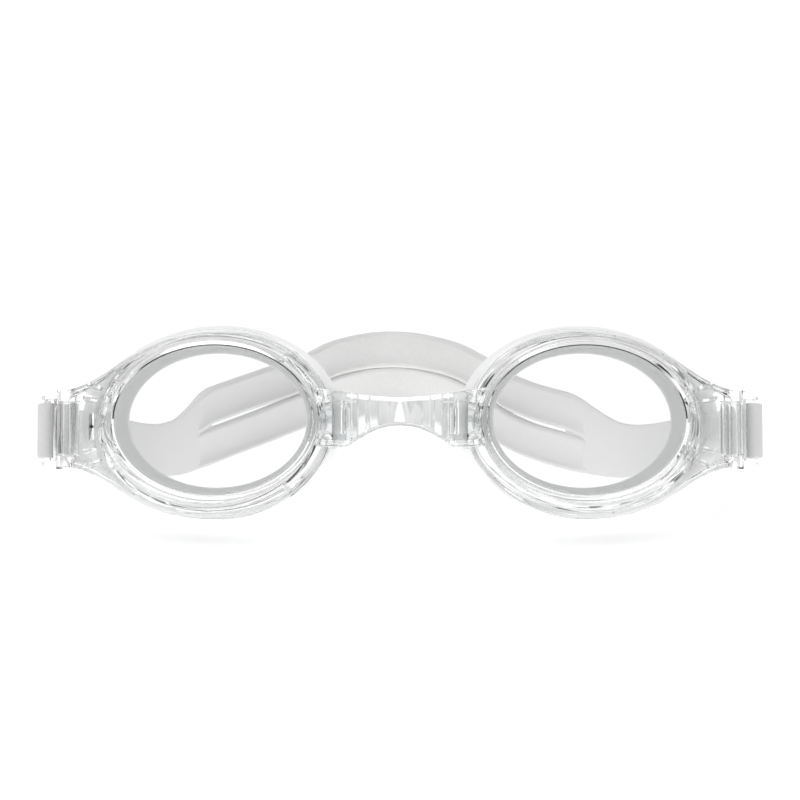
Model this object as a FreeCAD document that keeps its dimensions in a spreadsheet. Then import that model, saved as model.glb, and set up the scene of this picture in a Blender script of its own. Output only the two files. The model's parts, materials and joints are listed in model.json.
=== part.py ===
"""Swim goggles, in millimetres, +Z up, resting on their seal lips and on the strap's rear edge.

The eye cups are drawn upright in an eye frame: x to the right, y from the front to the back, z up,
with its origin between the two windows. The leaning placement then tips them back on their lips.
The right-hand mouldings are drawn and the left-hand ones are their mirror images.
"""
import FreeCAD, Part
import Sketcher
import math
import os

os.makedirs("parts", exist_ok=True)
doc = FreeCAD.newDocument("swim_goggles")

# ---------------------------------------------------------------- driving dimensions
DIMENSIONS = (
    # windows and lenses
    ("eye_spacing", 73.0, "from window centre to window centre"),
    ("window_half_width", 17.9, "clear window inside the seal"),
    ("window_half_height", 13.5, "clear window inside the seal"),
    ("face_half_width", 21.1, "front face of the lens"),
    ("face_half_height", 16.2, "front face of the lens"),
    ("face_shift", 1.0, "face centre outboard of the window centre"),
    ("face_wrap", 5.0, "angle of the face to straight ahead"),
    ("rim_half_width", 26.5, "rim at the back of the lens"),
    ("rim_half_height", 18.8, "rim at the back of the lens"),
    ("rim_shift", 3.8, "rim centre outboard of the window centre"),
    ("rim_wrap", 12.0, "angle of the rim to straight ahead"),
    ("rim_depth", 9.0, "from the face to the rim"),
    ("skirt_depth", 3.0, "straight skirt behind the rim"),
    ("lens_wall", 1.5, "side wall of the lens"),
    ("face_thickness", 2.0, "front plate of the lens"),
    # seal
    ("seal_gap", 0.15, "between the lens wall and the seal"),
    ("seal_wall", 1.8, "wall of the seal"),
    ("lip_half_width", 26.5, "face lip of the seal"),
    ("lip_half_height", 20.2, "face lip of the seal"),
    ("lip_shift", 1.6, "lip centre outboard of the window centre"),
    ("lip_wrap", 16.0, "angle of the lip to straight ahead"),
    ("lip_depth", 17.0, "from the face to the lip"),
    ("lip_thickness", 1.3, "edge of the lip"),
    ("lip_width", 2.4, "radial width of the lip at its edge"),
    # temple wing, clip bar and clip
    ("bar_reach", 32.1, "clip bar outboard of the window centre"),
    ("bar_depth", 20.5, "clip bar behind the face"),
    ("bar_radius", 1.2, "clip bar"),
    ("prong_radius", 2.2, "rounded end of each prong"),
    ("wing_half_height", 8.0, "wing at the clip bar"),
    ("wing_root_half_height", 10.0, "wing at the side wall"),
    ("wing_root_thickness", 9.0, "wing at the side wall"),
    ("wing_root_reach", 22.5, "wing root outboard of the window centre"),
    ("wing_root_depth", 9.0, "wing root behind the face"),
    ("hub_half_height", 5.2, "clip hub between the prongs"),
    ("hub_radius", 2.3, "clip hub"),
    ("hub_clearance", 0.1, "radial clearance of the clip hub on its bar"),
    ("turn_clearance", 0.4, "around the turning hub"),
    ("clip_angle", 43.0, "clip to straight outboard"),
    ("clip_thickness", 1.8, "clip plate"),
    ("clip_half_height", 8.2, "clip plate at the hub end"),
    ("clip_end_half_height", 7.2, "clip plate at the strap end"),
    ("web_width", 1.0, "crosspiece between the hub and the strap slot"),
    ("slot_room", 0.9, "spare room in the slot beside the folded strap"),
    ("strap_bar_radius", 0.75, "bar that the strap wraps"),
    ("snap_slot", 1.7, "snap-on slot in the clip hub"),
    # nose bridge
    ("bridge_half_length", 17.5, "before it is fitted to the lenses"),
    ("bridge_end_top", 6.4, "top edge at the lenses"),
    ("bridge_mid_top", 4.8, "top edge at the middle"),
    ("bridge_end_bottom", 5.4, "bottom edge at the lenses"),
    ("bridge_mid_bottom", 0.9, "bottom edge at the middle"),
    ("arch_half_width", 10.8, "arch over the nose"),
    ("bridge_thickness", 5.4, "front to back"),
    ("bridge_depth", 1.2, "its front behind the face"),
    ("lens_clearance", 0.3, "bridge to lens"),
    ("tongue_reach", 27.6, "tongue end inboard of the window centre"),
    ("tongue_half_height", 3.8, "lens tongue"),
    ("tongue_thickness", 2.0, "lens tongue"),
    ("tongue_depth", 3.6, "tongue front behind the face"),
    ("catch_width", 1.8, "catch window in the socket"),
    # strap
    ("strap_thickness", 1.2, "single band"),
    ("end_half_width", 6.1, "band at the clips"),
    ("rear_half_width", 8.7, "split band at the rear"),
    ("strap_gap", 0.15, "between the strap and the strap bar"),
    ("strap_reach", 123.0, "rear of the strap behind the face"),
    ("strap_offset", 2.0, "rear of the loop off centre, to the left"),
    ("strap_leave_angle", 38.0, "band leaving the clip, to straight back"),
    ("strap_settle", 55.0, "length over which the band drops to lie on its edge"),
    ("split_start", 22.0, "single band before it widens"),
    ("split_spread", 30.0, "length over which it widens"),
    ("tail_length", 34.0, "free end beyond each clip"),
    ("tail_closes", 14.0, "length over which a tail closes on the band"),
    # pose
    ("lean", 19.0, "angle the eye cups lean back at rest"),
)

sheet = doc.addObject("Spreadsheet::Sheet", "dims")
for row, (alias, value, meaning) in enumerate(DIMENSIONS, start=1):
    sheet.set(f"A{row}", alias)
    sheet.set(f"B{row}", str(value))
    sheet.set(f"C{row}", meaning)
    sheet.setAlias(f"B{row}", alias)
doc.recompute()

# The clip grows with the prong, the strap and the strap bar, so the folded strap always has room.
ARM_START = "(dims.prong_radius + dims.turn_clearance)"
WEB_END = f"({ARM_START} + dims.web_width)"
CLIP_LENGTH = (
    f"({WEB_END} + dims.slot_room + dims.strap_thickness + dims.strap_gap + dims.strap_bar_radius)"
)
# The lowest point of a lip, which is an ellipse turned by its wrap, stands this far below the eye
# frame's origin once the cups lean back.
REST_HEIGHT = (
    "((dims.lip_depth + dims.lip_thickness) * sin(dims.lean)"
    " + sqrt((dims.lip_half_width * sin(dims.lip_wrap) * sin(dims.lean))^2"
    " + (dims.lip_half_height * cos(dims.lean))^2))"
)
# The lower front of a face stands this far ahead of the eye frame's origin once it leans back.
FRONT_REACH = (
    "sqrt((dims.face_half_width * sin(dims.face_wrap) * cos(dims.lean))^2"
    " + (dims.face_half_height * sin(dims.lean))^2)"
)
# The row's origin is on the ground, midway between that front and the rear of the strap.
MID_DEPTH = f"((dims.strap_reach + dims.strap_thickness / 2 - {FRONT_REACH}) / 2)"
LEANING = f"placement(vector(0; -{MID_DEPTH}; {REST_HEIGHT}); rotation(vector(1; 0; 0); -dims.lean))"
WINDOW = "(dims.eye_spacing / 2)"
BAR_X = f"({WINDOW} + dims.bar_reach)"


# ---------------------------------------------------------------- small building blocks
def bound(kind, name, **expressions):
    """An object whose properties follow expressions; a double underscore stands for a dot."""
    item = doc.addObject(kind, name)
    for key, expression in expressions.items():
        item.setExpression(key.replace("__", "."), expression)
    return item


def placed(x, y, z, turn="0"):
    """Placement expression: at (x, y, z), turned about the upright axis."""
    return f"placement(vector({x}; {y}; {z}); rotation(vector(0; 0; 1); {turn}))"


def oval(name, shift, depth, wrap, half_width, half_height, back="0"):
    """Upright ellipse across the line of sight, moved back along its own normal."""
    x = f"{WINDOW} + {shift} - ({back}) * sin({wrap})"
    y = f"{depth} + ({back}) * cos({wrap})"
    turn = f"rotation(vector(0; 0; 1); {wrap}) * rotation(vector(1; 0; 0); 90)"
    return bound(
        "Part::Ellipse", name, MajorRadius=half_width, MinorRadius=half_height,
        Placement=f"placement(vector({x}; {y}; 0); {turn})",
    )


def upright_face(name, x, y, turn, width, height):
    """Upright rectangle centred on (x, y, 0), its width along the turned x axis."""
    face = bound("Part::Plane", name, Length=width, Width=height)
    centred = f"placement(vector(-({width}) / 2; 0; -({height}) / 2); rotation(vector(1; 0; 0); 90))"
    face.setExpression("Placement", f"{placed(x, y, '0', turn)} * {centred}")
    return face


def loft(name, sections):
    item = doc.addObject("Part::Loft", name)
    item.Sections = sections
    item.Solid = True
    item.Ruled = True
    return item


def box(name, x, y, z, length, width, height):
    return bound("Part::Box", name, Length=length, Width=width, Height=height, Placement=placed(x, y, z))


def cylinder(name, x, y, radius, half_height):
    return bound(
        "Part::Cylinder", name, Radius=radius, Height=f"2 * ({half_height})",
        Placement=placed(x, y, f"-({half_height})"),
    )


def fuse(name, pieces):
    item = doc.addObject("Part::MultiFuse", name)
    item.Shapes = pieces
    return item


def cut(name, base, tools):
    """Base minus all the tools."""
    for number, tool in enumerate(tools, start=1):
        item = doc.addObject("Part::Cut", name if number == len(tools) else f"{name}_{number}")
        item.Base = base
        item.Tool = tool
        base = item
    return base


def mirrored(name, source):
    """The left-hand moulding: the right-hand one reflected in the middle plane."""
    item = doc.addObject("Part::Mirroring", name)
    item.Source = source
    item.Normal = FreeCAD.Vector(1, 0, 0)
    return item


# ---------------------------------------------------------------- lens
def lens_outside(name, grow="0"):
    """Outer shape of the lens: face, rim and the end of the skirt, grown all round."""
    face = (f"dims.face_half_width + {grow}", f"dims.face_half_height + {grow}")
    rim = (f"dims.rim_half_width + {grow}", f"dims.rim_half_height + {grow}")
    return loft(name, [
        oval(f"{name}_face", "dims.face_shift", "0", "dims.face_wrap", *face, back=f"-({grow})"),
        oval(f"{name}_rim", "dims.rim_shift", "dims.rim_depth", "dims.rim_wrap", *rim),
        oval(f"{name}_end", "dims.rim_shift", "dims.rim_depth", "dims.rim_wrap", *rim,
             back=f"dims.skirt_depth + {grow}"),
    ])


def cup_sections(name, inset="0"):
    """Ovals along the inner wall of the lens, from the front plate to the end of the skirt."""
    inside = f"(dims.lens_wall + {inset})"
    face = (f"dims.face_half_width - {inside}", f"dims.face_half_height - {inside}")
    rim = (f"dims.rim_half_width - {inside}", f"dims.rim_half_height - {inside}")
    return [
        oval(f"{name}_front", "dims.face_shift", "0", "dims.face_wrap", *face,
             back="dims.face_thickness"),
        oval(f"{name}_rim", "dims.rim_shift", "dims.rim_depth", "dims.rim_wrap", *rim),
        oval(f"{name}_end", "dims.rim_shift", "dims.rim_depth", "dims.rim_wrap", *rim,
             back="dims.skirt_depth + dims.seal_gap"),
    ]


def lip_oval(name, grow, back):
    return oval(
        name, "dims.lip_shift", "dims.lip_depth", "dims.lip_wrap",
        f"dims.lip_half_width + {grow}", f"dims.lip_half_height + {grow}", back=back,
    )


def seal_outside(name, grow="0"):
    """Outer shape of the seal: a gap inside the lens wall, then flaring out to the lip."""
    return loft(name, cup_sections(name, f"dims.seal_gap - {grow}") + [
        lip_oval(f"{name}_lip", grow, "0"),
        lip_oval(f"{name}_edge", grow, f"dims.lip_thickness + {grow}"),
    ])


def make_lens():
    root_x = f"({WINDOW} + dims.wing_root_reach)"
    turn = f"atan2(dims.bar_depth - dims.wing_root_depth; {BAR_X} - {root_x}) - 90 deg"
    wing = loft("wing", [
        upright_face("wing_root", root_x, "dims.wing_root_depth", turn,
                     "dims.wing_root_thickness", "2 * dims.wing_root_half_height"),
        upright_face("wing_tip", BAR_X, "dims.bar_depth", turn,
                     "2 * dims.prong_radius", "2 * dims.wing_half_height"),
    ])
    prong = cylinder("prong_end", BAR_X, "dims.bar_depth", "dims.prong_radius", "dims.wing_half_height")
    tongue = tongue_box("tongue", "0")
    hub_room = cylinder(
        "hub_room", BAR_X, "dims.bar_depth", "dims.hub_radius + dims.turn_clearance",
        "dims.hub_half_height + dims.turn_clearance / 2",
    )
    solid = fuse("lens_solid", [lens_outside("lens_outside"), wing, prong, tongue])
    cup = loft("cup", cup_sections("cup"))
    shell = cut("lens_shell", solid, [cup, seal_outside("seal_room", "dims.seal_gap"), hub_room])
    bar = cylinder(
        "clip_bar", BAR_X, "dims.bar_depth", "dims.bar_radius",
        "(dims.hub_half_height + dims.wing_half_height) / 2",
    )
    lens = fuse("right_lens", [shell, bar])
    lens.setExpression("Placement", LEANING)
    return lens


def tongue_box(name, grow):
    """The tongue from its tip to inside the side wall, grown all round."""
    return box(
        name, f"{WINDOW} - dims.tongue_reach - {grow}", f"dims.tongue_depth - {grow}",
        f"-(dims.tongue_half_height + {grow})",
        f"dims.tongue_reach + dims.face_shift - dims.face_half_width + dims.lens_wall + {grow}",
        f"dims.tongue_thickness + 2 * {grow}", f"2 * (dims.tongue_half_height + {grow})",
    )


# ---------------------------------------------------------------- seal
def make_gasket():
    inset = "(dims.lens_wall + dims.seal_gap + dims.seal_wall)"
    window = ("dims.window_half_width", "dims.window_half_height")
    rim = (f"dims.rim_half_width - {inset}", f"dims.rim_half_height - {inset}")
    hole = loft("seal_hole", [
        oval("hole_start", "0", "0", "dims.face_wrap", *window, back="dims.face_thickness - 1"),
        oval("hole_front", "0", "0", "dims.face_wrap", *window, back="dims.face_thickness + 1"),
        oval("hole_rim", "dims.rim_shift", "dims.rim_depth", "dims.rim_wrap", *rim,
             back="dims.skirt_depth"),
        lip_oval("hole_lip", "(-dims.lip_width)", "dims.lip_thickness / 2"),
        lip_oval("hole_end", "(-dims.lip_width)", "dims.lip_thickness + 1"),
    ])
    gasket = cut("right_gasket", seal_outside("seal_outside"), [hole])
    gasket.setExpression("Placement", LEANING)
    return gasket


# ---------------------------------------------------------------- sketches
def new_sketch(body, role, name):
    plane = next(item for item in body.Origin.OriginFeatures if item.Role == role)
    sketch = body.newObject("Sketcher::SketchObject", name)
    sketch.AttachmentSupport = [(plane, "")]
    sketch.MapMode = "FlatFace"
    return sketch


def dimension(sketch, name, expression, *constraint):
    """Add a dimension to the sketch and tie it to the sheet."""
    index = sketch.addConstraint(Sketcher.Constraint(*constraint))
    sketch.renameConstraint(index, name)
    sketch.setExpression(f"Constraints.{name}", expression)


def even_quad(body, role, name, near, far, near_half, far_half, start=10.0, end=20.0, half=5.0):
    """Four-sided outline, even about the horizontal axis, between two distances from the origin."""
    sketch = new_sketch(body, role, name)
    corners = [(start, -half), (end, -half), (end, half), (start, half)]
    points = [FreeCAD.Vector(x, y, 0) for x, y in corners]
    for first, second in zip(points, points[1:] + points[:1]):
        sketch.addGeometry(Part.LineSegment(first, second))
    for line in range(4):
        sketch.addConstraint(Sketcher.Constraint("Coincident", line, 2, (line + 1) % 4, 1))
    sketch.addConstraint(Sketcher.Constraint("Symmetric", 0, 1, 2, 2, -1))
    sketch.addConstraint(Sketcher.Constraint("Symmetric", 0, 2, 2, 1, -1))
    dimension(sketch, "near", near, "DistanceX", -1, 1, 0, 1, start)
    dimension(sketch, "far", far, "DistanceX", -1, 1, 0, 2, end)
    dimension(sketch, "near_height", f"2 * ({near_half})", "DistanceY", 0, 1, 2, 2, 2 * half)
    dimension(sketch, "far_height", f"2 * ({far_half})", "DistanceY", 0, 2, 2, 1, 2 * half)
    return sketch


def round_outline(body, name, distance, radius):
    """Circle on the horizontal axis of the XY plane; a distance of None puts it at the origin."""
    sketch = new_sketch(body, "XY_Plane", name)
    centre = FreeCAD.Vector(0 if distance is None else 5, 0, 0)
    sketch.addGeometry(Part.Circle(centre, FreeCAD.Vector(0, 0, 1), 1.0))
    if distance is None:
        sketch.addConstraint(Sketcher.Constraint("Coincident", 0, 3, -1, 1))
    else:
        sketch.addConstraint(Sketcher.Constraint("PointOnObject", 0, 3, -1))
        dimension(sketch, "distance", distance, "DistanceX", -1, 1, 0, 3, 5.0)
    dimension(sketch, "radius", radius, "Radius", 0, 1.0)
    return sketch


def pad(body, name, sketch, length):
    """Pad to both sides of the sketch."""
    item = body.newObject("PartDesign::Pad", name)
    item.Profile = sketch
    item.SideType = "Symmetric"
    item.setExpression("Length", length)
    return item


def pocket(body, name, sketch):
    """Pocket through everything, to both sides of the sketch."""
    item = body.newObject("PartDesign::Pocket", name)
    item.Profile = sketch
    item.SideType = "Symmetric"
    item.Type = "ThroughAll"
    return item


# ---------------------------------------------------------------- clip
def make_clip():
    """Clip in its own frame: the clip bar at the origin, the strap bar out along x."""
    body = doc.addObject("PartDesign::Body", "right_clip")
    tip = f"{CLIP_LENGTH} + dims.strap_bar_radius + dims.strap_gap"
    slot_half = "dims.end_half_width + dims.turn_clearance"
    plate = even_quad(body, "XZ_Plane", "plate_outline", ARM_START, tip,
                      "dims.clip_half_height", "dims.clip_end_half_height")
    pad(body, "plate", plate, "dims.clip_thickness")
    web = even_quad(body, "XZ_Plane", "web_outline", "dims.bar_radius", WEB_END,
                    "dims.hub_half_height", "dims.hub_half_height")
    pad(body, "web", web, "dims.clip_thickness")
    hub = round_outline(body, "hub_outline", None, "dims.hub_radius")
    pad(body, "hub", hub, "2 * dims.hub_half_height")
    slot = even_quad(body, "XZ_Plane", "slot_outline", WEB_END, f"{tip} + 1",
                     slot_half, slot_half)
    pocket(body, "slot", slot)
    strap_bar = round_outline(body, "strap_bar_outline", CLIP_LENGTH, "dims.strap_bar_radius")
    pad(body, "strap_bar", strap_bar, f"{slot_half} + dims.clip_end_half_height")
    bore = round_outline(body, "bore_outline", None, "dims.bar_radius + dims.hub_clearance")
    pocket(body, "bore", bore)
    mouth = even_quad(body, "XY_Plane", "mouth_outline", "dims.bar_radius / 2",
                      "dims.hub_radius + 1", "dims.snap_slot / 2", "dims.snap_slot / 2")
    mouth.AttachmentOffset = FreeCAD.Placement(
        FreeCAD.Vector(), FreeCAD.Rotation(FreeCAD.Vector(0, 0, 1), -120)
    )
    pocket(body, "mouth", mouth)
    place = placed(BAR_X, "dims.bar_depth", "0", "dims.clip_angle")
    body.setExpression("Placement", f"{LEANING} * {place}")
    return body


# ---------------------------------------------------------------- nose bridge
def bridge_outline(body):
    """Front view of the bridge: a dished top edge, upright ends and an arch over the nose."""
    sketch = new_sketch(body, "XZ_Plane", "bridge_outline")
    corners = [(-17, 6), (17, 6), (17, -5), (10, -5), (-10, -5), (-17, -5)]
    top_left, top_right, low_right, arch_right, arch_left, low_left = [
        FreeCAD.Vector(x, z, 0) for x, z in corners
    ]
    sketch.addGeometry(Part.Arc(top_left, FreeCAD.Vector(0, 4.5, 0), top_right))
    sketch.addGeometry(Part.LineSegment(top_right, low_right))
    sketch.addGeometry(Part.LineSegment(low_right, arch_right))
    sketch.addGeometry(Part.Arc(arch_right, FreeCAD.Vector(0, -1, 0), arch_left))
    sketch.addGeometry(Part.LineSegment(arch_left, low_left))
    sketch.addGeometry(Part.LineSegment(low_left, top_left))
    join = Sketcher.Constraint
    for pair in ((0, 2, 1, 1), (1, 2, 2, 1), (2, 2, 3, 1), (3, 2, 4, 1), (4, 2, 5, 1), (5, 2, 0, 1)):
        sketch.addConstraint(join("Coincident", *pair))
    sketch.addConstraint(join("Symmetric", 0, 1, 0, 2, -2))
    sketch.addConstraint(join("Symmetric", 3, 1, 3, 2, -2))
    sketch.addConstraint(join("Vertical", 1))
    sketch.addConstraint(join("Vertical", 5))
    sketch.addConstraint(join("Horizontal", 2))
    sketch.addConstraint(join("Horizontal", 4))
    dimension(sketch, "half_length", "dims.bridge_half_length", "DistanceX", -1, 1, 1, 1, 17.0)
    dimension(sketch, "end_top", "dims.bridge_end_top", "DistanceY", -1, 1, 1, 1, 6.0)
    dimension(sketch, "end_bottom", "dims.bridge_end_bottom", "DistanceY", 1, 2, -1, 1, 5.0)
    dimension(sketch, "arch", "dims.arch_half_width", "DistanceX", -1, 1, 3, 1, 10.0)
    dish = "(dims.bridge_end_top - dims.bridge_mid_top)"
    rise = "(dims.bridge_end_bottom - dims.bridge_mid_bottom)"
    dimension(sketch, "top_radius", f"(dims.bridge_half_length^2 + {dish}^2) / (2 * {dish})",
              "Radius", 0, 97.0)
    dimension(sketch, "arch_radius", f"(dims.arch_half_width^2 + {rise}^2) / (2 * {rise})",
              "Radius", 3, 14.5)
    return sketch


def make_bridge():
    body = doc.addObject("PartDesign::Body", "bridge_blank")
    pad(body, "bridge_pad", bridge_outline(body), "dims.bridge_thickness")
    body.setExpression("Placement.Base.y", "dims.bridge_depth + dims.bridge_thickness / 2")
    catch = box(
        "catch_window", f"{WINDOW} - dims.tongue_reach + dims.tongue_thickness",
        "dims.bridge_depth - 1", "-dims.tongue_half_height",
        "dims.catch_width", "dims.tongue_depth - dims.bridge_depth + 1", "2 * dims.tongue_half_height",
    )
    room = fuse("bridge_room", [
        lens_outside("lens_room", "dims.lens_clearance"),
        tongue_box("tongue_room", "dims.lens_clearance"), catch,
    ])
    bridge = cut("nose_bridge", body, [room, mirrored("left_bridge_room", room)])
    bridge.setExpression("Placement", LEANING)
    return bridge


# ---------------------------------------------------------------- strap
# Route of the band from the right clip round the rear to the left clip. Each point is a share of
# the clip's distance from the middle and a share of the way back from the clip to the rear.
ROUTE = (
    (0.86, 0.11), (0.69, 0.24), (0.51, 0.35), (0.37, 0.51), (0.29, 0.72), (0.14, 0.94),
    (0.0, 1.0), (-0.14, 0.94), (-0.29, 0.73), (-0.49, 0.49), (-0.69, 0.26), (-0.86, 0.11),
)
BAND_STATIONS = 72
TURN_STATIONS = 10
TAIL_STATIONS = 12


def smooth(share):
    share = min(max(share, 0.0), 1.0)
    return share * share * (3 - 2 * share)


def mix(first, second, share):
    return first + (second - first) * share


def make_strap():
    """One closed band: a free tail, a turn round the clip's bar, the loop, a turn and a tail."""
    size = {alias: float(sheet.get(alias)) for alias, _, _ in DIMENSIONS}
    leaning = doc.getObject("right_lens").Placement
    upright = FreeCAD.Vector(0, 0, 1)
    leaned = leaning.Rotation.multVec(upright)
    clip_turn = math.radians(size["clip_angle"])
    leave_turn = math.radians(size["strap_leave_angle"])
    clip_length = sum(size[name] for name in (
        "prong_radius", "turn_clearance", "web_width", "slot_room",
        "strap_thickness", "strap_gap", "strap_bar_radius",
    ))
    bar = FreeCAD.Vector(
        size["eye_spacing"] / 2 + size["bar_reach"] + clip_length * math.cos(clip_turn),
        size["bar_depth"] + clip_length * math.sin(clip_turn), 0,
    )
    away = FreeCAD.Vector(-math.sin(leave_turn), math.cos(leave_turn), 0)
    outward = FreeCAD.Vector(away.y, -away.x, 0)
    bend = size["strap_bar_radius"] + size["strap_gap"] + size["strap_thickness"] / 2

    def on_side(vector, side):
        return FreeCAD.Vector(side * vector.x, vector.y, vector.z)

    def turn_point(radial, side):
        """Middle of the band on its turn round the strap bar, right (1) or left (-1)."""
        return on_side(leaning.multVec(bar + radial * bend), side)

    begin, finish = turn_point(-outward, 1), turn_point(-outward, -1)
    rear = leaning.Base.y + size["strap_reach"]
    dive = leaning.Rotation.multVec(away).z
    points = [FreeCAD.Vector(begin.x, begin.y, 0)]
    for x_share, y_share in ROUTE:
        x = x_share * begin.x - size["strap_offset"] * smooth(y_share)
        points.append(FreeCAD.Vector(x, mix(begin.y, rear, y_share), 0))
    points.append(FreeCAD.Vector(finish.x, finish.y, 0))
    curve = Part.BSplineCurve()
    curve.interpolate(Points=points, InitialTangent=away, FinalTangent=on_side(away, -1) * -1)
    length = curve.length()

    def band(travel):
        """Middle, outward direction, width direction and half width at a distance along the loop."""
        parameter = curve.parameterAtDistance(travel)
        middle = curve.value(parameter)
        heading = curve.tangent(parameter)[0]
        from_clip = min(travel, length - travel)
        share = min(from_clip / size["strap_settle"], 1.0)
        settled = smooth(share)
        widened = smooth((from_clip - size["split_start"]) / size["split_spread"])
        # It leaves the clip along the lean, then levels off on its lower edge.
        middle.z = mix(begin.z, size["rear_half_width"], settled)
        middle.z += dive * size["strap_settle"] * share * (1 - share) ** 2
        normal = FreeCAD.Vector(heading.y, -heading.x, 0).normalize()
        width_way = (leaned * (1 - settled) + upright * settled).normalize()
        return middle, normal, width_way, mix(size["end_half_width"], size["rear_half_width"], widened)

    def section(middle, thick_way, width_way, half_width):
        thick = thick_way * (size["strap_thickness"] / 2)
        wide = width_way * half_width
        corners = [middle - thick - wide, middle + thick - wide,
                   middle + thick + wide, middle - thick + wide]
        return Part.makePolygon(corners + corners[:1])

    def end_sections(side):
        """Sections from the tip of a tail to the end of the turn round the bar."""
        found = []
        for number in range(TAIL_STATIONS, 0, -1):
            travel = size["tail_length"] * number / TAIL_STATIONS
            middle, normal, width_way, _ = band(travel if side > 0 else length - travel)
            closed = smooth(travel / size["tail_closes"])
            apart = mix(2 * bend, size["strap_thickness"] + size["strap_gap"], closed)
            found.append(section(middle + normal * apart, normal, width_way, size["end_half_width"]))
        for number in range(TURN_STATIONS + 1):
            angle = math.pi * number / TURN_STATIONS
            radial = outward * math.cos(angle) - away * math.sin(angle)
            across = on_side(leaning.Rotation.multVec(radial), side)
            found.append(section(turn_point(radial, side), across, leaned, size["end_half_width"]))
        return found

    loop = []
    for number in range(1, BAND_STATIONS):
        middle, normal, width_way, half_width = band(length * number / BAND_STATIONS)
        loop.append(section(middle, -normal, width_way, half_width))
    strap = doc.addObject("Part::Feature", "strap")
    strap.Shape = Part.makeLoft(end_sections(1) + loop + end_sections(-1)[::-1], True, True)
    print("strap loop", round(length, 1), "mm, volume", round(strap.Shape.Volume, 1))
    return strap


# ---------------------------------------------------------------- assembly
right_lens = make_lens()
right_gasket = make_gasket()
right_clip = make_clip()
nose_bridge = make_bridge()
nodes = {
    "right_lens": right_lens, "left_lens": mirrored("left_lens", right_lens),
    "right_gasket": right_gasket, "left_gasket": mirrored("left_gasket", right_gasket),
    "right_clip": right_clip, "left_clip": mirrored("left_clip", right_clip),
    "nose_bridge": nose_bridge,
}
doc.recompute()
nodes["strap"] = make_strap()
doc.recompute()

for item in doc.Objects:
    if {"Invalid", "Error"} & set(item.State):
        raise RuntimeError(f"{item.Name} failed: {item.State} {item.getStatusString()}")
for node, item in nodes.items():
    item.Label = node
    if item.Shape.isNull() or not item.Shape.isValid() or len(item.Shape.Solids) != 1:
        raise RuntimeError(f"{node} is not one valid solid: {item.Shape.ShapeType}, {len(item.Shape.Solids)}")
    low, high = item.Shape.BoundBox.ZMin, item.Shape.BoundBox.ZMax
    print(f"{node}: volume {item.Shape.Volume:.0f}, z {low:.2f} to {high:.2f}")
    item.Shape.exportStep(f"parts/{node}.step")
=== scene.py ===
# %% [markdown]
# # Swim goggles
# Two clear moulded lenses, two soft face seals, a clip-in nose bridge, two strap clips and a split
# silicone strap. The frame gives the places of the joints and the lean of the eye cups. The sizes
# are written out here, close to those of the engineering solids but not read from them, and each
# moulding gets rounded edges, pockets and ribs.

# %% Open the frame
import bpy
import bmesh
import json
import math
from mathutils import Matrix, Vector


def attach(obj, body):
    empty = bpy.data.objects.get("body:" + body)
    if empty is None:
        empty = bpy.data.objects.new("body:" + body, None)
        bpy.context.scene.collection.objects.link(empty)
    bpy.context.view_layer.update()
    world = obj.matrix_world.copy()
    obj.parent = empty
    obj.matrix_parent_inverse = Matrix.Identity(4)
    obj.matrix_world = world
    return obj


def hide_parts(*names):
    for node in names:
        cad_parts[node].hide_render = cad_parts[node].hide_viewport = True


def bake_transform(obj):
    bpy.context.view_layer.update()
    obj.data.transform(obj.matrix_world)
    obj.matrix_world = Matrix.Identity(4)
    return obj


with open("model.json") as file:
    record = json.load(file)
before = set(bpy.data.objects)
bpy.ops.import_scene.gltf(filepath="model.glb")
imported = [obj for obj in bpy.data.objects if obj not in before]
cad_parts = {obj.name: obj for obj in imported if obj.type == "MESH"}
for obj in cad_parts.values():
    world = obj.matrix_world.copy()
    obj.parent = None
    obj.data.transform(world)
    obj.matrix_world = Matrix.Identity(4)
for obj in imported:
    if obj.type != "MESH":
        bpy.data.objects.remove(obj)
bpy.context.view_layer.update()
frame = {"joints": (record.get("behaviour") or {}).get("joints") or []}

# %% [markdown]
# ## Camera
# The goggles are seen from straight ahead and a little above. A long lens keeps the two eye cups
# from spreading apart. The camera comes first, because the floor and lights are judged through it.

# %% Find the eye frame, then set the camera
# The right clip turns on an upright bar in the eye frame, so its hinge gives the lean of the cups.
joints = {joint["name"]: joint for joint in frame["joints"]}
hinge = joints["right_clip_turn"]
lean = math.atan2(hinge["axis"][1], hinge["axis"][2])
LEAN = Matrix.Rotation(-lean, 3, "X")
CLIP_BAR = Vector((68.6, 20.5, 0))
origin = Vector(hinge["pos_m"]) - LEAN @ CLIP_BAR / 1000
# Pieces are drawn in millimetres in the eye frame: x right, y front to back, z up.
EYE = Matrix.Translation(origin) @ LEAN.to_4x4() @ Matrix.Scale(0.001, 4)
print("lean", round(math.degrees(lean), 2), "origin", [round(v, 5) for v in origin])

elevation = math.radians(13.5)
CAMERA_REACH = 0.6
bpy.ops.object.camera_add(
    location=origin + CAMERA_REACH * Vector((0, -math.cos(elevation), math.sin(elevation))),
    rotation=(math.pi / 2 - elevation, 0, 0),
)
camera = bpy.context.object
camera.data.lens = 135
camera.data.sensor_width = 36
camera.data.shift_y = 0.0244
camera.data.clip_start = 0.01
camera.data.clip_end = 50
bpy.context.scene.camera = camera
print("camera at", [round(v, 3) for v in camera.location])

# %% [markdown]
# ## Helpers for the mouldings
# Most of these parts are tubes of changing outline, so one helper starts with a circle of vertices,
# extrudes it ring after ring, and puts each new ring on its outline. Holes and bars are cut and
# joined with the Boolean modifier, and edges are softened with Bevel. A hand-placed mesh could do
# the same, but rings keep the walls even and easy to change.

# %% Select, start and finish a piece
def start_clean():
    if bpy.context.object and bpy.context.object.mode != "OBJECT":
        bpy.ops.object.mode_set(mode="OBJECT")
    bpy.ops.object.select_all(action="DESELECT")


def pick(piece):
    start_clean()
    piece.select_set(True)
    bpy.context.view_layer.objects.active = piece


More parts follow.
